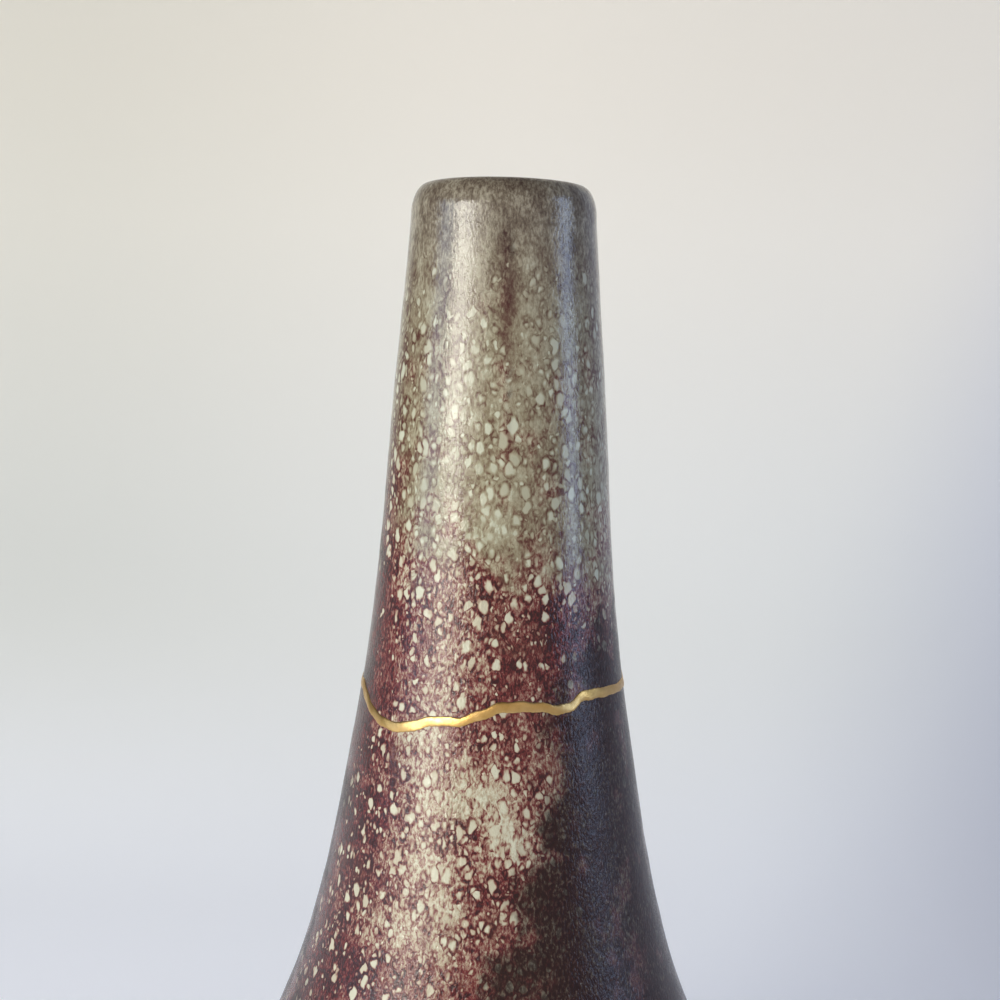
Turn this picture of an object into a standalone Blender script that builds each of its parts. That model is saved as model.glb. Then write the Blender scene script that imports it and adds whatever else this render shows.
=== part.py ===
"""A tall stoneware bottle vase, broken at the root of its neck and mended with lacquer and gold.

Three pieces stand on one upright axis: the body below the break, the neck above it, and
the seam of lacquer that fills the break and shows outside as a raised gold line.
Metres, +Z up, with the origin at the middle of the foot's underside.
"""

import math

import bmesh
import bpy
from mathutils import Vector, geometry

# The foot, a turned ring under a shallow recess
FOOT_RADIUS = 0.045
FOOT_HEIGHT = 0.005
FOOT_RING_WIDTH = 0.008
FOOT_RECESS = 0.003
FOOT_CHAMFER = 0.0008

# The outline's knots, from the foot up. A rise is the height over the knot below, and a
# lean is how far the wall tips inwards from upright as it climbs, in degrees.
UNDERSIDE_RADIUS = 0.048
UNDERSIDE_LEAN = -50
BELLY_RISE = 0.040
BELLY_RADIUS = 0.068
FLARE_RISE = 0.060
FLARE_RADIUS = 0.049
FLARE_LEAN = 18
ROOT_RISE = 0.065
ROOT_RADIUS = 0.035
ROOT_LEAN = 10
TAPER_RISE = 0.065
TAPER_RADIUS = 0.0279
MOUTH_RISE = 0.0685
MOUTH_RADIUS = 0.0224
NECK_LEAN = 3.8

# The wall, and the rounded lip at its top
WALL = 0.0055
FLOOR = 0.010
LIP_ROUND = 0.0033
LIP_DROP = 0.0075
LIP_INNER_DROP = 0.0025
LIP_MOST_OF_WALL = 0.9

# The break, which wanders up and down round the root of the neck
BREAK_ABOVE_ROOT = 0.0085
BREAK_WANDER = 0.005
# Its crests, troughs and shelves: the angle from the front towards +X, in degrees, and the
# height as a share of the wander
BREAK_TURNS = (
    (-90, 0.0),
    (-78, 0.05),
    (-50, -1.02),
    (-46, -1.06),
    (-40, -1.04),
    (-31, -0.76),
    (-26, -0.40),
    (-13, -0.36),
    (-8, -0.02),
    (-3, 0.10),
    (4, 0.44),
    (9, 0.50),
    (21, 0.36),
    (28, 0.20),
    (33, 0.20),
    (41, 0.65),
    (48, 0.64),
    (60, 0.48),
    (85, 0.28),
    (100, 0.55),
    (128, 0.08),
    (150, -0.44),
    (172, -0.16),
    (196, -0.32),
    (222, 0.38),
    (246, 0.80),
)

# The seam: a thin web through the wall that widens into a groove at the outer face, and a
# crown of gold over the groove
SEAM_WIDTH = 0.0022
SEAM_WEB = 0.0008
SEAM_GROOVE_DEPTH = 0.0015
SEAM_CROWN = 0.00035
SEAM_CLEARANCE = 0.0003

# How finely the round shapes are cut
ROUND_STEPS = 48
LEAST_STEPS = 2
LEAN_PER_STEP = 9
LIP_STEPS = 5
SEAM_STEPS = 96
CROWN_STEPS = 4
SLOPE_STEP = 1.0
SHARP_EDGE = 35

OXBLOOD = {"name": "oxblood_glaze", "colour": (0.15, 0.06, 0.05, 1), "roughness": 0.3, "metallic": 0}
ASH = {"name": "ash_glaze", "colour": (0.24, 0.20, 0.14, 1), "roughness": 0.3, "metallic": 0}
GOLD = {"name": "gold_on_lacquer", "colour": (0.72, 0.47, 0.16, 1), "roughness": 0.3, "metallic": 1}


def outline_knots():
    """(radius, height, lean) of the outer outline's knots, from the underside to the mouth."""
    knots = [(UNDERSIDE_RADIUS, FOOT_HEIGHT, UNDERSIDE_LEAN)]
    stretches = (
        (BELLY_RISE, BELLY_RADIUS, 0),
        (FLARE_RISE, FLARE_RADIUS, FLARE_LEAN),
        (ROOT_RISE, ROOT_RADIUS, ROOT_LEAN),
        (TAPER_RISE, TAPER_RADIUS, NECK_LEAN),
        (MOUTH_RISE, MOUTH_RADIUS, NECK_LEAN),
    )
    for rise, radius, lean in stretches:
        knots.append((radius, knots[-1][1] + rise, lean))
    return knots


def outer_curve():
    """The outer wall from the underside to the mouth, as points of (radius, height)."""
    knots = outline_knots()
    curve = [Vector(knots[0][:2])]
    for (low_radius, low, low_lean), (high_radius, high, high_lean) in zip(knots, knots[1:]):
        reach = (high - low) / 3
        steps = LEAST_STEPS + math.ceil(abs(high_lean - low_lean) / LEAN_PER_STEP)
        stretch = geometry.interpolate_bezier(
            Vector((low_radius, low)),
            Vector((low_radius - reach * math.tan(math.radians(low_lean)), low + reach)),
            Vector((high_radius + reach * math.tan(math.radians(high_lean)), high - reach)),
            Vector((high_radius, high)),
            steps + 1,
        )
        curve.extend(stretch[1:])
    return curve


def inner_curve(outer):
    """The hollow's wall, one wall's thickness inside the outer one, from the floor to the mouth."""
    floor_top = FOOT_RECESS + FLOOR
    moved = []
    for i, point in enumerate(outer):
        along = outer[min(i + 1, len(outer) - 1)] - outer[max(i - 1, 0)]
        inwards = Vector((-along.y, along.x)).normalized()
        moved.append(point + inwards * WALL)
    floor_edge = Vector((radius_at(moved, floor_top), floor_top))
    return [floor_edge] + [point for point in moved if point.y > floor_top]


def radius_at(curve, height):
    """The radius of a curve of (radius, height) points at a height."""
    for below, above in zip(curve, curve[1:]):
        if height <= above.y:
            break
    return below.x + (above.x - below.x) * (height - below.y) / (above.y - below.y)


def lip(outer, inner):
    """The rounded lip, from its inner foot over the crest to its outer foot."""
    top = outer[-1].y
    crest = outer[-1].x - min(LIP_ROUND, LIP_MOST_OF_WALL * WALL)
    inner_reach = crest - radius_at(inner, top - LIP_INNER_DROP)
    outer_reach = radius_at(outer, top - LIP_DROP) - crest
    points = []
    for step in range(LIP_STEPS + 1):
        turn = math.radians(90 * step / LIP_STEPS)
        points.append((crest - inner_reach * math.cos(turn), top - LIP_INNER_DROP * (1 - math.sin(turn))))
    for step in range(1, LIP_STEPS + 1):
        turn = math.radians(90 * step / LIP_STEPS)
        points.append((crest + outer_reach * math.sin(turn), top - LIP_DROP * (1 - math.cos(turn))))
    return points


def foot():
    """The foot from its outer top edge, under its ring and into the recess, to the axis."""
    ring_inside = FOOT_RADIUS - FOOT_RING_WIDTH
    return [
        (FOOT_RADIUS, FOOT_HEIGHT),
        (FOOT_RADIUS, FOOT_CHAMFER),
        (FOOT_RADIUS - FOOT_CHAMFER, 0),
        (ring_inside + FOOT_CHAMFER, 0),
        (ring_inside, FOOT_CHAMFER),
        (ring_inside, FOOT_RECESS),
        (0, FOOT_RECESS),
    ]


def wall_profile(outer, inner):
    """The whole wall's half section: up the hollow, over the lip, down outside and under the foot."""
    top = outer[-1].y
    up = [(point.x, point.y) for point in inner if point.y < top - LIP_INNER_DROP]
    down = [(point.x, point.y) for point in reversed(outer) if point.y < top - LIP_DROP]
    return [(0, FOOT_RECESS + FLOOR)] + up + lip(outer, inner) + down + foot()


def break_height(angle):
    """The height of the break's middle at an angle round the neck."""
    root = FOOT_HEIGHT + BELLY_RISE + FLARE_RISE + ROOT_RISE
    first_angle, first_share = BREAK_TURNS[0]
    turns = BREAK_TURNS + ((first_angle + 360, first_share),)
    angle = (angle - first_angle) % 360 + first_angle
    for (start, low), (end, high) in zip(turns, turns[1:]):
        if angle <= end:
            break
    share = (angle - start) / (end - start)
    eased = share * share * (3 - 2 * share)
    return root + BREAK_ABOVE_ROOT + BREAK_WANDER * (low + (high - low) * eased)


def upright_share(angle, radius):
    """How much taller than wide a band along the break is, measured upright, where the break slopes."""
    rise = break_height(angle + SLOPE_STEP) - break_height(angle - SLOPE_STEP)
    run = radius * math.radians(2 * SLOPE_STEP)
    return math.hypot(rise, run) / run


def at(angle, radius, height):
    """The point at an angle from the front towards +X."""
    turn = math.radians(angle)
    return Vector((radius * math.sin(turn), -radius * math.cos(turn), height))


def lofted(name, rings, looped):
    """A closed mesh through rings of points, capped at its ends or, looped, run back to its start."""
    shape = bmesh.new()
    loops = [[shape.verts.new(point) for point in ring] for ring in rings]
    for near, far in zip(loops, loops[1:] + loops[:1] if looped else loops[1:]):
        for i in range(len(near)):
            shape.faces.new((near[i - 1], near[i], far[i], far[i - 1]))
    if not looped:
        shape.faces.new(loops[0])
        shape.faces.new(loops[-1])
    bmesh.ops.recalc_face_normals(shape, faces=shape.faces)
    mesh = bpy.data.meshes.new(name)
    shape.to_mesh(mesh)
    shape.free()
    return mesh


def stations():
    """The angles at which the break is drawn, halfway between the turned wall's own edges."""
    return [360 * (step + 0.5) / SEAM_STEPS for step in range(SEAM_STEPS)]


def seam_section(angle, outer, inner):
    """The seam's section at an angle: its web through the wall, its groove and its crown."""
    middle = break_height(angle)
    surface = radius_at(outer, middle)
    upright = upright_share(angle, surface)
    half_web = upright * SEAM_WEB / 2
    half_width = upright * SEAM_WIDTH / 2
    groove = surface - SEAM_GROOVE_DEPTH
    section = [
        at(angle, groove, middle + half_web),
        at(angle, radius_at(inner, middle + half_web), middle + half_web),
        at(angle, radius_at(inner, middle - half_web), middle - half_web),
        at(angle, groove, middle - half_web),
    ]
    for step in range(CROWN_STEPS + 1):
        across = 2 * step / CROWN_STEPS - 1
        height = middle + across * half_width
        crown = SEAM_CROWN * (1 - across * across)
        section.append(at(angle, radius_at(outer, height) + crown, height))
    return section


def break_cutter(name, side, outer, inner):
    """All that lies beyond one face of the break, which follows the seam at the seam's clearance.

    The side is 1 for the neck's face and what is below it, or -1 for the body's and what is above.
    """
    far = 2 * max(point.x for point in outer)
    end_level = -far if side > 0 else outer[-1].y + far
    hub, web, groove, edge, rim, end = [], [], [], [], [], []
    for angle in stations():
        middle = break_height(angle)
        surface = radius_at(outer, middle)
        upright = upright_share(angle, surface)
        web_height = middle + side * (upright * SEAM_WEB / 2 + SEAM_CLEARANCE)
        edge_height = middle + side * (upright * SEAM_WIDTH / 2 + SEAM_CLEARANCE)
        hollow = radius_at(inner, middle)
        hub.append(at(angle, hollow / 2, break_height(0)))
        web.append(at(angle, hollow - WALL / 2, web_height))
        groove.append(at(angle, surface - SEAM_GROOVE_DEPTH, web_height))
        edge.append(at(angle, radius_at(outer, edge_height), edge_height))
        rim.append(at(angle, far, edge_height))
        end.append(at(angle, far, end_level))
    cutter = bpy.data.objects.new(name, lofted(name, (hub, web, groove, edge, rim, end), False))
    cutter.hide_render = True
    cutter.display_type = "WIRE"
    return cutter


def finish(look):
    """A plain material from one of the looks above."""
    material = bpy.data.materials.new(look["name"])
    material.diffuse_color = look["colour"]
    material.use_nodes = True
    shader = material.node_tree.nodes["Principled BSDF"]
    shader.inputs["Base Color"].default_value = look["colour"]
    shader.inputs["Roughness"].default_value = look["roughness"]
    shader.inputs["Metallic"].default_value = look["metallic"]
    return material


def smooth(mesh):
    """Shades a mesh round, but for its sharp edges."""
    mesh.shade_smooth()
    mesh.set_sharp_from_angle(angle=math.radians(SHARP_EDGE))


def turned_wall(outer, inner):
    """The whole vase as thrown, before it broke: the wall's half section turned round the axis."""
    half = wall_profile(outer, inner)
    section = bpy.data.meshes.new("wall_section")
    points = [(radius, 0, height) for radius, height in half]
    section.from_pydata(points, [(i, i + 1) for i in range(len(points) - 1)], [])
    thrown = bpy.data.objects.new("thrown_wall", section)
    bpy.context.scene.collection.objects.link(thrown)
    turn = thrown.modifiers.new("turn", "SCREW")
    turn.angle = math.tau
    turn.steps = turn.render_steps = ROUND_STEPS
    turn.use_merge_vertices = True
    turn.merge_threshold = 0.00001
    wall = bpy.data.meshes.new_from_object(thrown.evaluated_get(bpy.context.evaluated_depsgraph_get()))
    bpy.data.objects.remove(thrown)
    smooth(wall)
    return wall


def broken_piece(name, wall, cutter, look):
    """One of the two pieces that the wall broke into: the wall less what the cutter holds."""
    mesh = wall.copy()
    mesh.name = name
    mesh.materials.clear()
    mesh.materials.append(finish(look))
    piece = bpy.data.objects.new(name, mesh)
    broken = piece.modifiers.new("break", "BOOLEAN")
    broken.operation = "DIFFERENCE"
    broken.solver = "EXACT"
    broken.object = cutter
    return piece


def gold_seam(outer, inner):
    """The lacquer and gold that fill the break, all the way round."""
    rings = [seam_section(angle, outer, inner) for angle in stations()]
    mesh = lofted("gold_seam", rings, True)
    smooth(mesh)
    mesh.materials.append(finish(GOLD))
    return bpy.data.objects.new("gold_seam", mesh)


def new_collection(name):
    collection = bpy.data.collections.new(name)
    bpy.context.scene.collection.children.link(collection)
    return collection


def main():
    for old in list(bpy.data.objects):
        bpy.data.objects.remove(old)
    outer = outer_curve()
    inner = inner_curve(outer)
    wall = turned_wall(outer, inner)
    below_neck = break_cutter("below_neck", 1, outer, inner)
    above_body = break_cutter("above_body", -1, outer, inner)
    vase = new_collection("kintsugi_vase")
    cutters = new_collection("cutters")
    cutters.objects.link(below_neck)
    cutters.objects.link(above_body)
    vase.objects.link(broken_piece("vase_body", wall, above_body, OXBLOOD))
    vase.objects.link(broken_piece("vase_neck", wall, below_neck, ASH))
    vase.objects.link(gold_seam(outer, inner))


main()
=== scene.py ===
"""A tall stoneware bottle vase, broken at the root of its neck and mended with lacquer and gold."""

import math

import bmesh
import bpy
import numpy as np
from mathutils import Matrix, Vector, noise


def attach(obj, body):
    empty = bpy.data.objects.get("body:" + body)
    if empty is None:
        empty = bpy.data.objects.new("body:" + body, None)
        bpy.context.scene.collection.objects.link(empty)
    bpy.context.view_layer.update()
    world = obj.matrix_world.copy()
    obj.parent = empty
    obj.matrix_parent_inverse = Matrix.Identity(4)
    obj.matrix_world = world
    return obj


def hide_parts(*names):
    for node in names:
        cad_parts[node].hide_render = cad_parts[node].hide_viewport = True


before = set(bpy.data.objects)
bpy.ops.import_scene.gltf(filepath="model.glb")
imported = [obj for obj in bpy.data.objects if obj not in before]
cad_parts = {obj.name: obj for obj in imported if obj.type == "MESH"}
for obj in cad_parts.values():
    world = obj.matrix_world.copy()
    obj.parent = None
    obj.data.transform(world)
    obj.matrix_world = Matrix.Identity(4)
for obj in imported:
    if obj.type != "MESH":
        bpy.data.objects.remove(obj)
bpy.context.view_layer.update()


# The thrown body
# A pear-shaped bottle of dark stoneware, thrown on the wheel in one with its neck and glazed
# outside and in. It stands on a turned foot ring of bare clay and ends above at the break.

# The outer wall's knots: the height, the radius, and the lean inwards in degrees
WALL_KNOTS = (
    (0.005, 0.048, -50),
    (0.045, 0.068, 0),
    (0.105, 0.049, 18),
    (0.170, 0.035, 10),
    (0.235, 0.0279, 3.8),
    (0.3035, 0.0224, 3.8),
)
WALL = 0.0055
FLOOR_TOP = 0.013
FOOT_RADIUS = 0.045
FOOT_HEIGHT = 0.005
FOOT_RING_INSIDE = 0.037
FOOT_RECESS = 0.003
FOOT_SOFTNESS = 0.0009

# The break's crests, troughs and shelves: the angle from the front towards +X, in degrees,
# and the height as a share of its wander
BREAK_MIDDLE = 0.1785
BREAK_WANDER = 0.005
BREAK_TURNS = (
    (-90, 0.0),
    (-78, 0.05),
    (-50, -1.02),
    (-46, -1.06),
    (-40, -1.04),
    (-31, -0.76),
    (-26, -0.40),
    (-13, -0.36),
    (-8, -0.02),
    (-3, 0.10),
    (4, 0.44),
    (9, 0.50),
    (21, 0.36),
    (28, 0.20),
    (33, 0.20),
    (41, 0.65),
    (48, 0.64),
    (60, 0.48),
    (85, 0.28),
    (100, 0.55),
    (128, 0.08),
    (150, -0.44),
    (172, -0.16),
    (196, -0.32),
    (222, 0.38),
    (246, 0.80),
)
BREAK_GAP = 0.0003
BREAK_BEND = 0.030

# The mesh: points around, rows up the glazed wall and the hollow, and the fine rows that the
# hollow's wall is read from
AROUND = 360
WALL_ROWS = 200
HOLLOW_ROWS = 40
FINE_ROWS = 400
SAME_POINT = 1e-6
CLAY_EDGE = 40

ANGLES = np.arange(AROUND) * (360 / AROUND)

# The potter's hand: how deep it shows, and how many pools and throwing rings there are to a metre
HAND_DEPTH = 0.00007
POOLS = 90
SMALL_POOLS = 260
THROWING_RINGS = 190
RING_DRIFT = 12


def outer_radius(height):
    """The glazed wall's radius at each height: a cubic between each pair of knots."""
    height = np.asarray(height, dtype=float)
    knots = np.array(WALL_KNOTS)
    low = np.clip(np.searchsorted(knots[:, 0], height, side="right") - 1, 0, len(knots) - 2)
    rise = knots[low + 1, 0] - knots[low, 0]
    share = (height - knots[low, 0]) / rise
    low_slope = -np.tan(np.radians(knots[low, 2])) * rise
    high_slope = -np.tan(np.radians(knots[low + 1, 2])) * rise
    return (
        (2 * share**3 - 3 * share**2 + 1) * knots[low, 1]
        + (share**3 - 2 * share**2 + share) * low_slope
        + (3 * share**2 - 2 * share**3) * knots[low + 1, 1]
        + (share**3 - share**2) * high_slope
    )


def inner_wall(rows, top):
    """The hollow's wall as (radii, heights), one wall's thickness inside, from the floor up."""
    height = np.linspace(FOOT_HEIGHT, top + WALL, FINE_ROWS)
    radius = outer_radius(height)
    slope = np.gradient(radius, height)
    reach = np.hypot(1, slope)
    hollow_height = height + WALL * slope / reach
    hollow_radius = radius - WALL / reach
    wanted = np.linspace(FLOOR_TOP, top, rows)
    return np.interp(wanted, hollow_height, hollow_radius), wanted


def break_height(angle):
    """The height of the break's middle at each angle, in degrees."""
    first = BREAK_TURNS[0]
    turns = np.array(BREAK_TURNS + ((first[0] + 360, first[1]),))
    angle = (np.asarray(angle, dtype=float) - first[0]) % 360 + first[0]
    start = np.clip(np.searchsorted(turns[:, 0], angle, side="right") - 1, 0, len(turns) - 2)
    share = (angle - turns[start, 0]) / (turns[start + 1, 0] - turns[start, 0])
    eased = share * share * (3 - 2 * share)
    height = turns[start, 1] + (turns[start + 1, 1] - turns[start, 1]) * eased
    turn = np.radians(angle)
    ragged = 0.03 * np.sin(19 * turn + 1.3) + 0.025 * np.sin(37 * turn + 0.4) + 0.01 * np.sin(71 * turn)
    return BREAK_MIDDLE + BREAK_WANDER * (height + ragged)


def along_break(height, side):
    """Heights at every angle: level far from the break, and bent to run along it near by.

    The side is -1 for the body, below the break, and 1 for the neck, above it.
    """
    edge = break_height(ANGLES) + side * BREAK_GAP / 2
    level = BREAK_MIDDLE + side * BREAK_GAP / 2
    near = np.clip(1 - np.abs(height - level) / BREAK_BEND, 0, 1)
    eased = near * near * (3 - 2 * near)
    return height + (edge - level) * eased


def turned(name, radii, heights, looped, sharp_from):
    """A piece's mesh through rings of points: a row for each ring, a column for each angle.

    Edges that turn by more than sharp_from, in degrees, stay crisp.
    """
    rings, around = radii.shape
    turn = np.radians(np.arange(around) * (360 / around))
    points = np.stack((radii * np.sin(turn), -radii * np.cos(turn), heights), axis=-1).reshape(-1, 3)
    faces = []
    for ring in range(rings if looped else rings - 1):
        this = ring * around
        after = (ring + 1) % rings * around
        for step in range(around):
            beside = (step + 1) % around
            faces.append((this + step, this + beside, after + beside, after + step))
    mesh = bpy.data.meshes.new(name)
    mesh.from_pydata(points, [], faces)
    shape = bmesh.new()
    shape.from_mesh(mesh)
    bmesh.ops.remove_doubles(shape, verts=shape.verts, dist=SAME_POINT)
    bmesh.ops.recalc_face_normals(shape, faces=shape.faces)
    shape.to_mesh(mesh)
    shape.free()
    mesh.shade_smooth()
    mesh.set_sharp_from_angle(angle=math.radians(sharp_from))
    return mesh


def ring_rows(points):
    """Level rings from a list of (radius, height), as rows of radii and of heights."""
    radii = np.array([np.full(AROUND, radius) for radius, height in points])
    heights = np.array([np.full(AROUND, height) for radius, height in points])
    return radii, heights


def hand_of_the_potter(mesh):
    """The faint unevenness of a thrown and glazed wall: soft throwing rings and pools of glaze."""
    around_and_up = Vector((RING_DRIFT, RING_DRIFT, THROWING_RINGS))
    for vertex in mesh.vertices:
        radius = math.hypot(vertex.co.x, vertex.co.y)
        if radius < FOOT_RING_INSIDE / 2 and vertex.co.z < FLOOR_TOP * 2:
            continue
        pool = noise.noise(vertex.co * POOLS) + 0.4 * noise.noise(vertex.co * SMALL_POOLS)
        rings = noise.noise(vertex.co * around_and_up)
        grow = 1 + HAND_DEPTH * (pool + rings) / radius
        vertex.co.x *= grow
        vertex.co.y *= grow


def spots(angle, height, marks):
    """The sum of soft round marks of (angle, height in mm, half width, half height in mm, amount)."""
    total = np.zeros_like(angle)
    for at_angle, at_height, wide, tall, amount in marks:
        across = (angle - at_angle + 180) % 360 - 180
        total += amount * np.exp(-((across / wide) ** 2) - ((height - at_height) / tall) ** 2)
    return total


# Where the glazes run, by height in mm: how many cream cells show, how red the ground is, how
# thick the milky veil lies between the cells, and the olive at the lip
CREAM_BY_HEIGHT = (
    (0, 0.2), (60, 0.3), (100, 0.4), (125, 0.55), (150, 0.6), (168, 0.5), (185, 0.4),
    (198, 0.6), (208, 0.95), (255, 1.1), (268, 0.85), (280, 0.5), (290, 0.15), (303, 0),
)
RED_BY_HEIGHT = (
    (0, 0.7), (60, 0.85), (120, 0.95), (160, 0.9), (190, 1), (202, 0.85), (213, 0.42), (232, 0.2),
    (262, 0.08), (303, 0),
)
MILK_BY_HEIGHT = (
    (0, 0.25), (100, 0.3), (130, 0.4), (160, 0.42), (172, 0.32), (186, 0.3), (198, 0.36), (207, 0.56),
    (218, 0.66), (255, 0.68), (272, 0.6), (290, 0.5), (303, 0.42),
)
OLIVE_BY_HEIGHT = ((0, 0), (240, 0), (270, 0.3), (285, 0.7), (293, 1), (303, 1))

# Marks on them: the angle from the front, the height, the half width, the half height, the amount
CREAM_MARKS = (
    (-22, 160, 17, 11, 0.4),
    (8, 161, 14, 9, 0.3),
    (4, 149, 14, 7, 0.5),
    (-24, 143, 16, 7, 0.4),
    (-6, 137, 8, 5, 0.25),
    (-40, 132, 16, 7, 0.3),
    (-18, 196, 12, 12, 0.15),
    (24, 214, 14, 10, 0.2),
    (32, 178, 18, 20, -0.3),
    (46, 140, 22, 34, -0.4),
    (50, 105, 26, 30, -0.4),
    (4, 270, 3.5, 12, -0.5),
    (7, 250, 2.6, 16, -0.45),
    (3, 226, 3, 10, -0.3),
    (-70, 208, 14, 22, -0.5),
    (-58, 198, 14, 14, -0.4),
    (-76, 170, 18, 40, -0.5),
    (160, 210, 40, 40, 0.1),
    (120, 150, 30, 22, 0.25),
    (-130, 160, 26, 18, 0.3),
    (-160, 130, 30, 14, 0.2),
    (170, 120, 24, 16, -0.2),
)
RED_MARKS = (
    (-70, 208, 16, 24, 0.7),
    (-52, 196, 14, 16, 0.35),
    (-15, 122, 30, 8, 0.3),
    (2, 268, 5, 24, 0.35),
    (-160, 225, 22, 24, 0.5),
)
MILK_MARKS = (
    (-20, 160, 15, 8, 0.5),
    (2, 160, 11, 8, 0.4),
    (6, 150, 12, 6, 0.6),
    (-24, 142, 18, 6, 0.5),
    (-42, 129, 18, 6, 0.35),
    (-20, 125, 14, 5, 0.25),
    (-80, 160, 16, 50, -0.3),
    (-12, 134, 8, 4, 0.4),
    (-58, 156, 14, 16, -0.15),
    (-33, 172, 12, 4, 0.4),
    (-20, 189, 13, 12, 0.32),
    (-8, 151, 6, 3.5, -0.35),
    (-2, 139, 8, 4, -0.3),
    (12, 238, 12, 12, 0.06),
    (-4, 222, 8, 9, 0.22),
    (2, 255, 9, 7, 0.15),
    (24, 226, 14, 20, -0.12),
    (22, 207, 10, 7, 0.1),
    (4, 274, 4, 14, -0.35),
    (1, 288, 3.5, 9, -0.3),
    (-32, 272, 5, 9, -0.2),
    (5, 243, 2.5, 9, -0.3),
    (-4, 208, 7, 6, -0.2),
    (-70, 206, 14, 22, -0.35),
    (-64, 236, 16, 34, -0.26),
    (-56, 130, 16, 34, -0.24),
    (-38, 128, 10, 36, -0.1),
    (26, 200, 12, 10, -0.25),
    (150, 150, 30, 20, 0.3),
    (-140, 165, 26, 16, 0.35),
)
DUSK_MARKS = (
    (5, 270, 3, 26, 0.35),
    (-84, 150, 18, 60, 0.55),
    (-84, 232, 14, 30, 0.35),
    (-100, 70, 50, 40, 0.4),
    (-30, 40, 60, 30, 0.4),
)

# The dark flank on the right: its left edge by height in mm, how dark it is there, how many
# degrees it takes to grow full, and where and how softly it ends on the far side
FLANK_EDGE = (
    (0, -18), (105, -12), (120, -10), (135, 0), (148, 8), (170, 12), (185, 18), (200, 32), (215, 44),
)
FLANK_DEPTH = ((0, 0.7), (110, 1), (176, 1), (188, 0.75), (203, 0.5), (216, 0.1), (225, 0))
FLANK_FADE = 24
FLANK_FAR_SIDE = 105
FLANK_FAR_FADE = 40

# The sizes in metres of what the glaze shows: clouds, patches, freckles and pits, and the depth
# of its pits and ripples
CLOUDS = 0.012
PATCHES = 0.0048
FRECKLES = 0.0006
PITS = 0.0011
RELIEF = 0.00016

# Round each cell: the share of the room between two cells that stays clear, and the ring's width
# as a share of the cell's size
CELL_GAP = 0.15
RING_WIDTH = 0.26


def flank(angle, height):
    """How dark the flank is: full a little to the right of its edge, and gone on the far side."""
    edge = np.interp(height, *zip(*FLANK_EDGE))
    begun = np.clip((angle - edge) / FLANK_FADE, 0, 1)
    left = np.clip((FLANK_FAR_SIDE + FLANK_FAR_FADE - angle) / FLANK_FAR_FADE, 0, 1)
    return begun * left * np.interp(height, *zip(*FLANK_DEPTH))


def paint_glaze(mesh, bare):
    """Writes onto the mesh where each glaze lies, and where bare says that there is only clay."""
    points = np.empty(len(mesh.vertices) * 3)
    mesh.vertices.foreach_get("co", points)
    points = points.reshape(-1, 3)
    angle = np.degrees(np.arctan2(points[:, 0], -points[:, 1]))
    height = points[:, 2] * 1000
    layers = {
        "cream": np.interp(height, *zip(*CREAM_BY_HEIGHT)) + spots(angle, height, CREAM_MARKS),
        "red": np.interp(height, *zip(*RED_BY_HEIGHT)) + spots(angle, height, RED_MARKS),
        "milk": np.interp(height, *zip(*MILK_BY_HEIGHT)) + spots(angle, height, MILK_MARKS),
        "olive": np.interp(height, *zip(*OLIVE_BY_HEIGHT)),
        "dusk": spots(angle, height, DUSK_MARKS) + flank(angle, height),
        "bare": bare(points),
    }
    for name, amount in layers.items():
        layer = mesh.attributes.new(name, "FLOAT", "POINT")
        layer.data.foreach_set("value", np.clip(amount, 0, 1).astype(np.float32))


def srgb(red, green, blue):
    """A colour as seen on a screen, 0 to 255, as the shader's own light values."""
    parts = []
    for part in (red / 255, green / 255, blue / 255):
        parts.append(part / 12.92 if part <= 0.04045 else ((part + 0.055) / 1.055) ** 2.4)
    return (*parts, 1)


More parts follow.
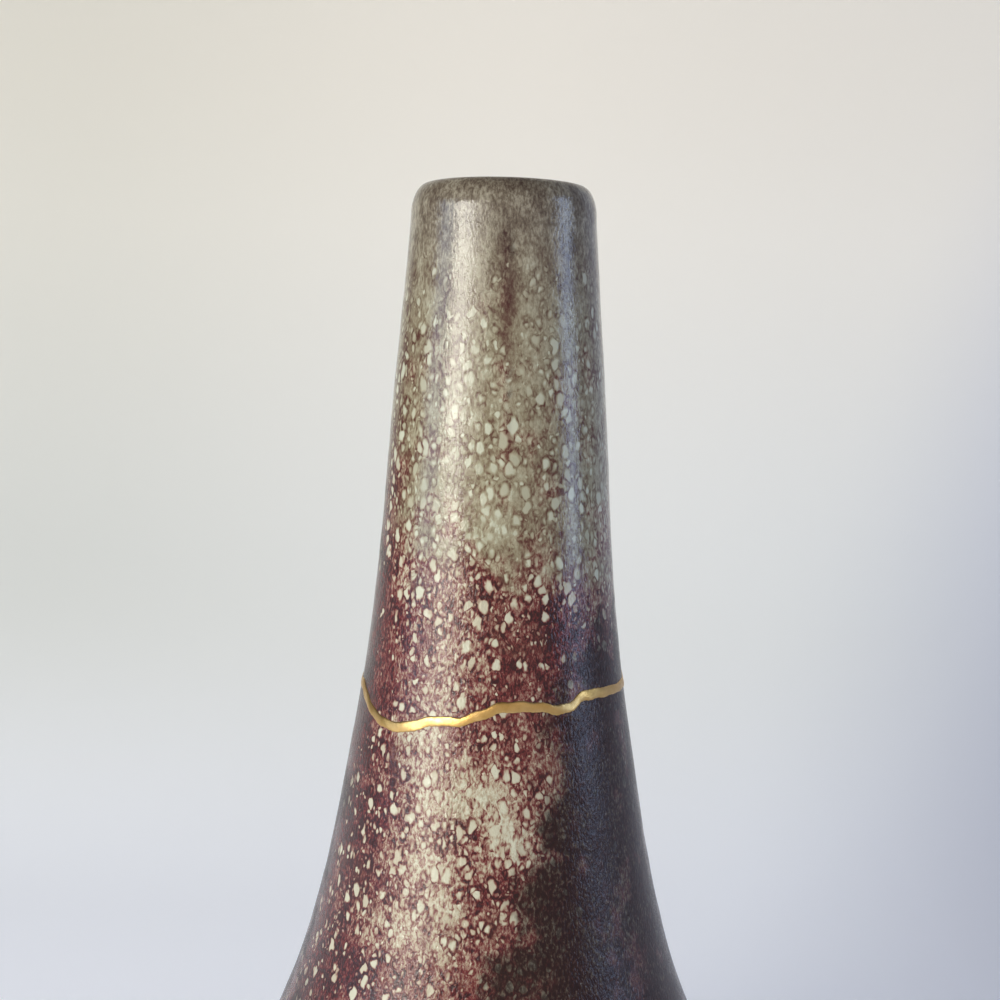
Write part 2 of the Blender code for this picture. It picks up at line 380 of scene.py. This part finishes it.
class Finish:
    """A material under way: each call adds a node and gives back what it puts out."""

    def __init__(self, name):
        self.material = bpy.data.materials.new(name)
        self.material.use_nodes = True
        self.tree = self.material.node_tree
        self.shader = self.tree.nodes["Principled BSDF"]

    def feed(self, socket, value):
        """Links another node's output to a socket, or sets a plain value on it."""
        if isinstance(value, bpy.types.NodeSocket):
            self.tree.links.new(value, socket)
        else:
            socket.default_value = value

    def node(self, kind, settings, **inputs):
        """A node of a kind, with its settings, and what goes into it by name."""
        made = self.tree.nodes.new("ShaderNode" + kind)
        for key, value in settings.items():
            setattr(made, key, value)
        for key, value in inputs.items():
            self.feed(made.inputs[key.replace("_", " ")], value)
        return made

    def sum(self, operation, first, second=0.0, third=0.0):
        """A sum on numbers: MULTIPLY_ADD is first times second, plus third."""
        made = self.node("Math", {"operation": operation})
        for socket, value in zip(made.inputs, (first, second, third)):
            self.feed(socket, value)
        return made.outputs[0]

    def ramp(self, value, low, high, least=0.0, most=1.0):
        """A smooth step from least to most as the value goes from low to high."""
        made = self.node("MapRange", {"interpolation_type": "SMOOTHSTEP"}, Value=value)
        for key, number in zip(("From Min", "From Max", "To Min", "To Max"), (low, high, least, most)):
            self.feed(made.inputs[key], number)
        return made.outputs[0]

    def mix(self, share, first, second):
        """A colour between two, from the first at a share of 0 to the second at 1."""
        made = self.node("Mix", {"data_type": "RGBA"})
        for index, value in ((0, share), (6, first), (7, second)):
            self.feed(made.inputs[index], value)
        return made.outputs[2]

    def gradient(self, value, *stops):
        """A colour that runs through stops of (value, colour)."""
        made = self.node("ValToRGB", {}, Fac=value)
        ramp = made.color_ramp
        for at, colour in stops[1:-1]:
            ramp.elements.new(at).color = colour
        ramp.elements[0].color = stops[0][1]
        ramp.elements[-1].color = stops[-1][1]
        return made.outputs["Color"]

    def layer(self, name):
        """How much of a layer lies at each point of the mesh, as painted on it under this name."""
        return self.node("Attribute", {"attribute_name": name}).outputs["Fac"]

    def noise(self, at, size, detail=2.0, roughness=0.5):
        """Soft noise from 0 to 1, with lumps of a size in metres."""
        made = self.node("TexNoise", {}, Vector=at, Scale=1 / size, Detail=detail, Roughness=roughness)
        return made.outputs["Fac"]

    def cells(self, at, size, feature="F1"):
        """Packed cells of a size in metres."""
        return self.node("TexVoronoi", {"feature": feature}, Vector=at, Scale=1 / size)

    def stretched(self, at, upright, bend, size):
        """A place warped by soft noise and squeezed in height, which draws what is on it out upright."""
        lumps = self.node("TexNoise", {}, Vector=at, Scale=1 / size, Detail=1.0)
        shift = self.node("VectorMath", {"operation": "SUBTRACT"})
        self.feed(shift.inputs[0], lumps.outputs["Color"])
        self.feed(shift.inputs[1], (0.5, 0.5, 0.5))
        moved = self.node("VectorMath", {"operation": "MULTIPLY_ADD"})
        self.feed(moved.inputs[0], shift.outputs[0])
        self.feed(moved.inputs[1], (bend, bend, bend))
        self.feed(moved.inputs[2], at)
        squeezed = self.node("VectorMath", {"operation": "MULTIPLY"})
        self.feed(squeezed.inputs[0], moved.outputs[0])
        self.feed(squeezed.inputs[1], (1, 1, upright))
        return squeezed.outputs[0]


def glaze_cells(glaze, place, size, reach, amount, softness):
    """Round cells of glaze of a size in metres.

    They come back as how far inside one a point is, the ring round it, and its own chance. The reach
    is the least and most radius, as shares of the size. Where the amount is 1 every cell shows, and
    where it is 0 none does.
    """
    cell = glaze.cells(place, size)
    border = glaze.cells(place, size, "DISTANCE_TO_EDGE").outputs["Distance"]
    chance = glaze.node("SeparateColor", {}, Color=cell.outputs["Color"])
    radius = glaze.ramp(chance.outputs["Green"], 0, 1, *reach)
    brim = glaze.sum("SUBTRACT", radius, softness)
    inside = glaze.ramp(cell.outputs["Distance"], radius, brim)
    inside = glaze.sum("MULTIPLY", inside, glaze.ramp(border, 0, CELL_GAP))
    shows = glaze.ramp(glaze.sum("SUBTRACT", amount, chance.outputs["Red"]), -0.05, 0.12)
    outside = glaze.sum("ADD", radius, RING_WIDTH)
    ring = glaze.ramp(cell.outputs["Distance"], outside, radius)
    inside = glaze.sum("MULTIPLY", inside, shows)
    ring = glaze.sum("MULTIPLY", ring, shows)
    return inside, ring, chance.outputs["Blue"]


def stoneware_glaze(name):
    """Ash and oxblood glazes that parted into cream cells in a net of dark red, over iron clay."""
    glaze = Finish(name)
    place = glaze.node("TexCoord", {}).outputs["Object"]
    drawn = glaze.stretched(glaze.stretched(place, 0.68, 0.0016, 0.003), 1, 0.0008, 0.0012)
    streaked = glaze.stretched(place, 0.45, 0.0006, 0.002)
    broad = glaze.noise(place, CLOUDS, 3, 0.6)
    patchy = glaze.noise(drawn, PATCHES, 3, 0.6)
    freckle = glaze.noise(streaked, FRECKLES, 3, 0.7)
    red = glaze.sum("ADD", glaze.layer("red"), glaze.ramp(broad, 0.3, 0.7, -0.3, 0.3))
    red = glaze.ramp(glaze.sum("ADD", red, glaze.ramp(patchy, 0.3, 0.7, -0.15, 0.15)), 0.1, 0.9)
    cream = glaze.sum("ADD", glaze.layer("cream"), glaze.ramp(broad, 0.25, 0.75, -0.12, 0.12))
    cream = glaze.sum("ADD", cream, glaze.ramp(patchy, 0.25, 0.75, -0.25, 0.25))
    cream = glaze.sum("MULTIPLY_ADD", glaze.layer("olive"), -0.35, cream)

    # How thick the cream lies, from 0 for the bare dark ground to 1 for a full pale cell. It is
    # cloudy and freckled by itself, and gathers in three sizes of cell with thin rings round them,
    # which are fainter where the ground is khaki.
    thick = glaze.sum("MULTIPLY_ADD", glaze.ramp(patchy, 0.3, 0.7, -1, 1), 0.17, glaze.layer("milk"))
    net = glaze.ramp(red, 0, 1, 0.62, 1)
    at_lip = glaze.ramp(glaze.layer("olive"), 0, 1, 0, 0.09)
    freckles = glaze.sum("ADD", glaze.ramp(red, 0, 1, 0.12, 0.26), at_lip)
    thick = glaze.sum("MULTIPLY_ADD", glaze.ramp(freckle, 0.3, 0.7, -1, 1), freckles, thick)
    flecks = glaze.sum("MULTIPLY_ADD", cream, 0.7, 0.1)
    # For each size: the least and most radius as shares of it, how many show, how soft the brim
    # is, how deep the ring is, and how pale the least cell is
    for size, reach, amount, softness, ring_depth, least in (
        (0.0011, (0.28, 0.60), flecks, 0.34, 0.12, 0.5),
        (0.0018, (0.25, 0.56), cream, 0.30, 0.26, 0.72),
        (0.0027, (0.30, 0.62), cream, 0.28, 0.32, 0.8),
    ):
        inside, ring, chance = glaze_cells(glaze, drawn, size, reach, amount, softness)
        ring = glaze.sum("MULTIPLY", ring, net)
        thick = glaze.sum("MULTIPLY_ADD", ring, -ring_depth, thick)
        full = glaze.ramp(chance, 0, 1, least, 1)
        gap = glaze.sum("MAXIMUM", glaze.sum("SUBTRACT", full, thick), 0)
        thick = glaze.sum("MULTIPLY_ADD", gap, inside, thick)

    # The colours by that thickness: over khaki above, over oxblood below, and olive at the lip
    khaki = glaze.gradient(
        thick,
        (0, srgb(80, 34, 28)),
        (0.25, srgb(100, 72, 56)),
        (0.5, srgb(138, 126, 100)),
        (0.75, srgb(164, 158, 132)),
        (1, srgb(198, 200, 177)),
    )
    oxblood = glaze.gradient(
        thick,
        (0, srgb(50, 13, 15)),
        (0.25, srgb(108, 35, 36)),
        (0.45, srgb(142, 104, 90)),
        (0.65, srgb(180, 164, 138)),
        (1, srgb(204, 202, 178)),
    )
    olive = glaze.gradient(
        thick,
        (0, srgb(56, 36, 31)),
        (0.4, srgb(110, 99, 84)),
        (0.7, srgb(152, 144, 126)),
        (1, srgb(178, 173, 156)),
    )
    colour = glaze.mix(red, khaki, oxblood)
    colour = glaze.mix(glaze.layer("olive"), colour, olive)

    # The dark flank, torn along its edge, and bare clay where no glaze went
    torn = glaze.ramp(patchy, 0.3, 0.7, -0.25, 0.25)
    ragged = glaze.sum("ADD", glaze.ramp(broad, 0.3, 0.7, -0.4, 0.4), torn)
    ragged = glaze.sum("MULTIPLY", ragged, glaze.ramp(glaze.layer("dusk"), 0, 0.25))
    dusk = glaze.sum("ADD", glaze.layer("dusk"), ragged)
    dusk = glaze.ramp(dusk, 0.05, 0.95)
    dusk = glaze.sum("MULTIPLY", dusk, glaze.ramp(freckle, 0.45, 0.75, 0.97, 0.75))
    colour = glaze.mix(dusk, colour, srgb(38, 17, 13))
    clay = glaze.mix(glaze.ramp(freckle, 0.36, 0.64), srgb(84, 60, 46), srgb(122, 94, 70))
    colour = glaze.mix(glaze.layer("bare"), colour, clay)
    glaze.feed(glaze.shader.inputs["Base Color"], colour)

    # A satin gloss under a thin clear skin that sparkles from its pits and ripples, most where
    # the glaze is red
    rough = glaze.ramp(freckle, 0.3, 0.7, 0.42, 0.55)
    rough = glaze.sum("MULTIPLY_ADD", glaze.layer("bare"), 0.4, rough)
    glaze.feed(glaze.shader.inputs["Roughness"], rough)
    glaze.shader.inputs["IOR"].default_value = 1.45
    glaze.shader.inputs["Specular IOR Level"].default_value = 0.12
    glazed = glaze.sum("SUBTRACT", 0.85, glaze.sum("MULTIPLY", dusk, 0.35))
    glazed = glaze.sum("MULTIPLY", glazed, glaze.ramp(glaze.layer("bare"), 0, 1, 1, 0))
    glaze.feed(glaze.shader.inputs["Coat Weight"], glazed)
    glaze.shader.inputs["Coat Roughness"].default_value = 0.08
    glaze.shader.inputs["Coat IOR"].default_value = 1.5
    ripple = glaze.noise(streaked, FRECKLES, 2, 0.6)
    pits = glaze.ramp(glaze.cells(place, PITS).outputs["Distance"], 0.05, 0.3)
    relief = glaze.sum("MULTIPLY_ADD", pits, 0.25, ripple)
    relief = glaze.sum("MULTIPLY", relief, glaze.ramp(glaze.layer("red"), 0.1, 0.9, 0.5, 1))
    bump = glaze.node("Bump", {}, Strength=1.0, Distance=RELIEF, Height=relief)
    glaze.feed(glaze.shader.inputs["Normal"], bump.outputs["Normal"])
    glaze.feed(glaze.shader.inputs["Coat Normal"], bump.outputs["Normal"])
    return glaze.material


# The glaze was wiped off up to this height, and thins out over the next bit
BARE_TO = 0.0035
BARE_FADE = 0.0015
BARE_MARGIN = 0.001


def foot_is_bare(points):
    """1 on the foot ring and its recess, fading out just above it."""
    under = points[:, 2] < FOOT_RECESS + BARE_MARGIN / 2
    ring = 1 - np.clip((points[:, 2] - BARE_TO) / BARE_FADE, 0, 1)
    outside = np.hypot(points[:, 0], points[:, 1]) > FOOT_RING_INSIDE - BARE_MARGIN
    return np.where(under, 1.0, np.where(outside, ring, 0.0))


def body_mesh():
    """Rings from the floor's middle up the hollow, down outside and under the foot."""
    edge = BREAK_MIDDLE - BREAK_GAP / 2
    hollow_radii, hollow_heights = inner_wall(HOLLOW_ROWS, edge)
    inner_z = np.array([along_break(height, -1) for height in hollow_heights])
    inner_r = np.repeat(hollow_radii[:, None], AROUND, axis=1)
    outer_z = np.array([along_break(height, -1) for height in np.linspace(edge, FOOT_HEIGHT, WALL_ROWS)])
    outer_r = outer_radius(outer_z)
    floor_r, floor_z = ring_rows([(0, FLOOR_TOP), (hollow_radii[0] * 0.55, FLOOR_TOP)])
    soft = FOOT_SOFTNESS
    foot_r, foot_z = ring_rows(
        [
            (FOOT_RADIUS + soft, FOOT_HEIGHT - soft * 0.4),
            (FOOT_RADIUS, FOOT_HEIGHT - soft * 1.4),
            (FOOT_RADIUS, soft),
            (FOOT_RADIUS - soft * 0.3, soft * 0.3),
            (FOOT_RADIUS - soft, 0),
            (FOOT_RING_INSIDE + soft, 0),
            (FOOT_RING_INSIDE + soft * 0.3, soft * 0.3),
            (FOOT_RING_INSIDE, soft),
            (FOOT_RING_INSIDE, FOOT_RECESS),
            (FOOT_RING_INSIDE / 2, FOOT_RECESS),
            (0, FOOT_RECESS),
        ]
    )
    radii = np.concatenate((floor_r, inner_r, outer_r, foot_r))
    heights = np.concatenate((floor_z, inner_z, outer_z, foot_z))
    return turned("vase_body_glazed", radii, heights, False, CLAY_EDGE)


mesh = body_mesh()
hand_of_the_potter(mesh)
paint_glaze(mesh, foot_is_bare)
mesh.materials.append(stoneware_glaze("body_glaze"))
body = bpy.data.objects.new("vase_body_glazed", mesh)
bpy.context.scene.collection.objects.link(body)
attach(body, "root")
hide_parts("vase_body")


# The neck
# The long tapering neck that broke off in one piece, with the rounded lip that the potter
# pressed with a wet leather. Its glaze ran thin and olive at the lip.
LIP_ROUND = 0.0033
LIP_DROP = 0.0075
LIP_INNER_DROP = 0.0025
NECK_ROWS = 150
LIP_ROWS = 14


def neck_mesh():
    """Rings from the break up the hollow, over the rounded lip and down outside, back to the break."""
    top = WALL_KNOTS[-1][0]
    edge = BREAK_MIDDLE + BREAK_GAP / 2
    hollow_radii, hollow_heights = inner_wall(FINE_ROWS, top - LIP_INNER_DROP)
    inner_heights = np.linspace(edge, top - LIP_INNER_DROP, HOLLOW_ROWS)
    inner_z = np.array([along_break(height, 1) for height in inner_heights])
    inner_radii = np.interp(inner_heights, hollow_heights, hollow_radii)
    inner_r = np.repeat(inner_radii[:, None], AROUND, axis=1)
    crest = WALL_KNOTS[-1][1] - LIP_ROUND
    inner_reach = crest - inner_r[-1, 0]
    outer_reach = float(outer_radius(top - LIP_DROP)) - crest
    lip = []
    for step in range(1, LIP_ROWS):
        turn = math.radians(90 * step / LIP_ROWS)
        lip.append((crest - inner_reach * math.cos(turn), top - LIP_INNER_DROP * (1 - math.sin(turn))))
    for step in range(LIP_ROWS * 2):
        turn = math.radians(90 * step / (LIP_ROWS * 2))
        lip.append((crest + outer_reach * math.sin(turn), top - LIP_DROP * (1 - math.cos(turn))))
    lip_r, lip_z = ring_rows(lip)
    outer_heights = np.linspace(top - LIP_DROP, edge, NECK_ROWS)
    outer_z = np.array([along_break(height, 1) for height in outer_heights])
    outer_r = outer_radius(outer_z)
    radii = np.concatenate((inner_r, lip_r, outer_r))
    heights = np.concatenate((inner_z, lip_z, outer_z))
    return turned("vase_neck_glazed", radii, heights, True, CLAY_EDGE)


mesh = neck_mesh()
hand_of_the_potter(mesh)
paint_glaze(mesh, lambda points: np.zeros(len(points)))
mesh.materials.append(stoneware_glaze("neck_glaze"))
neck = bpy.data.objects.new("vase_neck_glazed", mesh)
bpy.context.scene.collection.objects.link(neck)
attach(neck, "root")
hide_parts("vase_neck")


# The mend
# Lacquer glues the neck back on and fills the break through the wall. Outside it stands a
# little proud and carries a line of burnished gold, wider on the shelves than on the steps.
SEAM_WEB = 0.0008
SEAM_GROOVE_DEPTH = 0.0015
SEAM_CROWN = 0.00045
SEAM_SUNK = 0.00015
SEAM_HALF_WIDTH = 0.0013
SEAM_RADIUS = 0.034
SEAM_STATIONS = 1440
SEAM_ACROSS = 14
SEAM_EDGE = 50
BRINK_RAGGED = 0.00004
BRUSH_STEPS = (-2.2, -1.1, 0, 1.1, 2.2)
GOLD_DUST = 0.0006
BRUSH_STROKES = 0.004
GOLD_RELIEF = 0.00015


def brushed_line(angle):
    """The gold's middle: the break as a soft brush followed it, without its smallest turns."""
    return sum(break_height(angle + step) for step in BRUSH_STEPS) / len(BRUSH_STEPS)


def seam_half_width(angle, side):
    """Half the gold line's width upright, for its lower (-1) or upper (1) edge."""
    slope = (brushed_line(angle + 1) - brushed_line(angle - 1)) / (2 * math.radians(1) * SEAM_RADIUS)
    turn = np.radians(angle)
    brush = 0.07 * np.sin(9 * turn + 0.5) + 0.06 * np.sin(23 * turn + 2 * side)
    brush += 0.05 * np.sin(41 * turn - side)
    return SEAM_HALF_WIDTH * (1 + brush) * np.hypot(1, slope) ** 0.7


def seam_mesh():
    """The web through the wall and the crowned line outside, with how near its brink each point is."""
    angle = np.arange(SEAM_STATIONS) * (360 / SEAM_STATIONS)
    middle = break_height(angle)
    line = brushed_line(angle)
    lower = seam_half_width(angle, -1)
    upper = seam_half_width(angle, 1)
    surface = outer_radius(middle)
    hollow_radii, hollow_heights = inner_wall(FINE_ROWS, BREAK_MIDDLE + BREAK_WANDER * 2)
    hollow = np.interp(middle, hollow_heights, hollow_radii)
    columns = [
        (surface - SEAM_GROOVE_DEPTH, middle + SEAM_WEB / 2),
        (hollow, middle + SEAM_WEB / 2),
        (hollow, middle - SEAM_WEB / 2),
        (surface - SEAM_GROOVE_DEPTH, middle - SEAM_WEB / 2),
    ]
    brink = [1.0] * len(columns)
    turn = np.radians(angle)
    for step in range(SEAM_ACROSS + 1):
        across = 2 * step / SEAM_ACROSS - 1
        ragged = np.sin(133 * turn + 3 * across) + 0.5 * np.sin(211 * turn - across)
        height = line + across * (upper if across > 0 else lower) + BRINK_RAGGED * ragged * abs(across)
        lumps = 0.9 + 0.1 * np.sin(27 * turn + 2 * across)
        crown = SEAM_CROWN * (1 - across**2) ** 0.35 * lumps - SEAM_SUNK
        columns.append((outer_radius(height) + crown, height))
        brink.append(max(0, 1 - 2 * step / SEAM_ACROSS) ** 4)
    radii = np.array([radius for radius, height in columns])
    heights = np.array([height for radius, height in columns])
    mesh = turned("gold_seam_burnished", radii, heights, True, SEAM_EDGE)
    layer = mesh.attributes.new("brink", "FLOAT", "POINT")
    layer.data.foreach_set("value", np.repeat(brink, SEAM_STATIONS).astype(np.float32))
    return mesh


def burnished_gold(name):
    """Gold dust burnished to a satin on the mend's brown glue, which darkens its lower brink together
    with painted shadow under the gold's edge.
    """
    gold = Finish(name)
    place = gold.node("TexCoord", {}).outputs["Object"]
    dust = gold.noise(place, GOLD_DUST, 3, 0.6)
    strokes = gold.noise(place, BRUSH_STROKES, 2, 0.5)
    colour = gold.mix(gold.ramp(strokes, 0.3, 0.7), srgb(206, 164, 96), srgb(222, 184, 120))
    colour = gold.mix(gold.ramp(dust, 0.55, 0.75, 0, 0.25), colour, srgb(176, 128, 62))
    # Dark brown at the lower brink: partly the lacquer showing, partly painted shadow under the gold's
    # proud edge
    lacquer_and_painted_shadow = gold.ramp(gold.layer("brink"), 0.5, 0.75)
    colour = gold.mix(lacquer_and_painted_shadow, colour, srgb(58, 30, 16))
    gold.feed(gold.shader.inputs["Base Color"], colour)
    gold.feed(gold.shader.inputs["Metallic"], gold.sum("SUBTRACT", 1.0, lacquer_and_painted_shadow))
    gold.feed(gold.shader.inputs["Roughness"], gold.ramp(dust, 0.3, 0.7, 0.3, 0.42))
    bump = gold.node("Bump", {}, Strength=0.3, Distance=GOLD_RELIEF, Height=dust)
    gold.feed(gold.shader.inputs["Normal"], bump.outputs["Normal"])
    return gold.material


mesh = seam_mesh()
mesh.materials.append(burnished_gold("gold"))
seam = bpy.data.objects.new("gold_seam_burnished", mesh)
bpy.context.scene.collection.objects.link(seam)
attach(seam, "root")
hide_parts("gold_seam")


# The studio
# A pale sweep of paper, which glows faintly with painted light and carries painted light and shade in
# its colour, rises behind the vase without a corner, and soft daylight comes from a window to the left,
# that reaches low, and a bluer one to the right.
SWEEP_BACK = 0.60
SWEEP_ROUND = 0.35
SWEEP_HALF_WIDTH = 2.2
SWEEP_FRONT = -2.0
SWEEP_HEIGHT = 2.2
SWEEP_STEPS = 24
PAPER_GLOW = 0.28
AIM_HEIGHT = 0.2
AIR_COLOUR = (0.5, 0.56, 0.7, 1)
AIR_LIGHT = 0.16


def studio_sweep():
    """The paper, with painted light and shade in its colour: warm painted light above, cooler below,
    greyer with painted shade by the window, a painted shadow at the right, and dark painted shade on the
    wings.
    """
    section = [(SWEEP_FRONT, 0.0), (SWEEP_BACK - SWEEP_ROUND, 0.0)]
    for step in range(1, SWEEP_STEPS + 1):
        turn = math.radians(90 * step / SWEEP_STEPS)
        section.append(
            (SWEEP_BACK - SWEEP_ROUND * (1 - math.sin(turn)), SWEEP_ROUND * (1 - math.cos(turn)))
        )
    section.append((SWEEP_BACK, SWEEP_HEIGHT))
    points = []
    for side in (-SWEEP_HALF_WIDTH, SWEEP_HALF_WIDTH):
        points.extend((side, back, height) for back, height in section)
    count = len(section)
    faces = [(at, count + at, count + at + 1, at + 1) for at in range(count - 1)]
    mesh = bpy.data.meshes.new("studio_sweep")
    mesh.from_pydata(points, [], faces)
    mesh.shade_smooth()
    paint = Finish("paper_painted_light_and_shade")
    place = paint.node("TexCoord", {}).outputs["Object"]
    where = paint.node("SeparateXYZ", {}, Vector=place).outputs
    # Painted light: the paper cool and pale low down, warm higher up
    climb = paint.sum("MULTIPLY_ADD", where["Y"], 0.5, where["Z"])
    colour = paint.mix(paint.ramp(climb, 0.05, 0.35), srgb(238, 240, 247), srgb(226, 226, 222))
    colour = paint.mix(paint.ramp(climb, 0.3, 0.8), colour, srgb(224, 217, 204))
    # Painted shade: the paper greyer by the window, above the floor
    painted_shade_by_window = paint.ramp(where["X"], -0.35, 0.05, 0.3, 0)
    painted_shade_by_window = paint.sum("MULTIPLY", painted_shade_by_window, paint.ramp(climb, 0.15, 0.4))
    colour = paint.mix(painted_shade_by_window, colour, srgb(150, 152, 140))
    # Painted shade: dark grey on the paper's wings, most higher up
    painted_shade_on_wings = paint.ramp(paint.sum("ABSOLUTE", where["X"]), 0.4, 0.8, 0, 0.95)
    painted_shade_on_wings = paint.sum("MULTIPLY", painted_shade_on_wings, paint.ramp(where["Z"], 0, 0.3, 0.2, 1))
    colour = paint.mix(painted_shade_on_wings, colour, srgb(66, 62, 62))
    # Painted shadow: lilac-grey on the paper at the right, most low down
    side = paint.sum("MULTIPLY_ADD", climb, -0.35, where["X"])
    shade = paint.ramp(side, 0.05, 0.3, 0, 0.85)
    colour = paint.mix(shade, colour, srgb(184, 186, 198))
    paint.feed(paint.shader.inputs["Base Color"], colour)
    # Painted glow: the paper gives off light in its own colour, though it is no lamp
    paint.feed(paint.shader.inputs["Emission Color"], colour)
    paint.shader.inputs["Emission Strength"].default_value = PAPER_GLOW
    paint.shader.inputs["Roughness"].default_value = 0.9
    paint.shader.inputs["Specular IOR Level"].default_value = 0.1
    mesh.materials.append(paint.material)
    sweep = bpy.data.objects.new("studio_sweep", mesh)
    bpy.context.scene.collection.objects.link(sweep)


def soft_light(name, azimuth, distance, height, width, tall, watts, colour):
    """A soft rectangle of light that faces the vase, at an azimuth from the front towards +X."""
    light = bpy.data.lights.new(name, "AREA")
    light.shape = "RECTANGLE"
    light.size = width
    light.size_y = tall
    light.energy = watts
    light.color = colour
    lamp = bpy.data.objects.new(name, light)
    turn = math.radians(azimuth)
    lamp.location = (distance * math.sin(turn), -distance * math.cos(turn), height)
    aim = Vector((0, 0, AIM_HEIGHT)) - lamp.location
    lamp.rotation_euler = aim.to_track_quat("-Z", "Y").to_euler()
    bpy.context.scene.collection.objects.link(lamp)


studio_sweep()
soft_light("window", -48, 1.3, 0.48, 0.52, 0.44, 9.2, (1.0, 0.97, 0.89))
soft_light("window_foot", -46, 1.3, 0.12, 0.5, 0.3, 2.8, (1.0, 0.97, 0.88))
soft_light("curtain", -27, 1.3, 0.47, 0.36, 0.42, 2.0, (1.0, 0.93, 0.82))
soft_light("window_sky", -73, 1.3, 0.40, 0.5, 0.6, 3.3, (0.62, 0.78, 1.0))
soft_light("room", 24, 1.3, 0.45, 1.6, 0.8, 2.0, (1.0, 0.88, 0.74))
soft_light("blue_side", 80, 1.2, 0.45, 0.36, 0.9, 4.7, (0.5, 0.67, 1.0))
world = bpy.data.worlds.new("studio_air")
world.use_nodes = True
world.node_tree.nodes["Background"].inputs["Color"].default_value = AIR_COLOUR
world.node_tree.nodes["Background"].inputs["Strength"].default_value = AIR_LIGHT
bpy.context.scene.world = world
bpy.context.scene.view_settings.view_transform = "Standard"


# The camera
# It stands close to the neck, a little under the lip, looks slightly down and leans a little,
# so that the picture ends below the shoulder.
LENS = 46.8
CAMERA_BACK = 0.3283
CAMERA_SIDE = 0.0007
CAMERA_HEIGHT = 0.2650
CAMERA_DOWN = 6.87
CAMERA_ROLL = 1.39

eye = bpy.data.cameras.new("eye")
eye.sensor_width = 36
eye.lens = LENS
eye.clip_start = 0.01
camera = bpy.data.objects.new("eye", eye)
camera.matrix_world = (
    Matrix.Translation((CAMERA_SIDE, -CAMERA_BACK, CAMERA_HEIGHT))
    @ Matrix.Rotation(math.radians(90 - CAMERA_DOWN), 4, "X")
    @ Matrix.Rotation(math.radians(CAMERA_ROLL), 4, "Z")
)
bpy.context.scene.collection.objects.link(camera)
bpy.context.scene.camera = camera
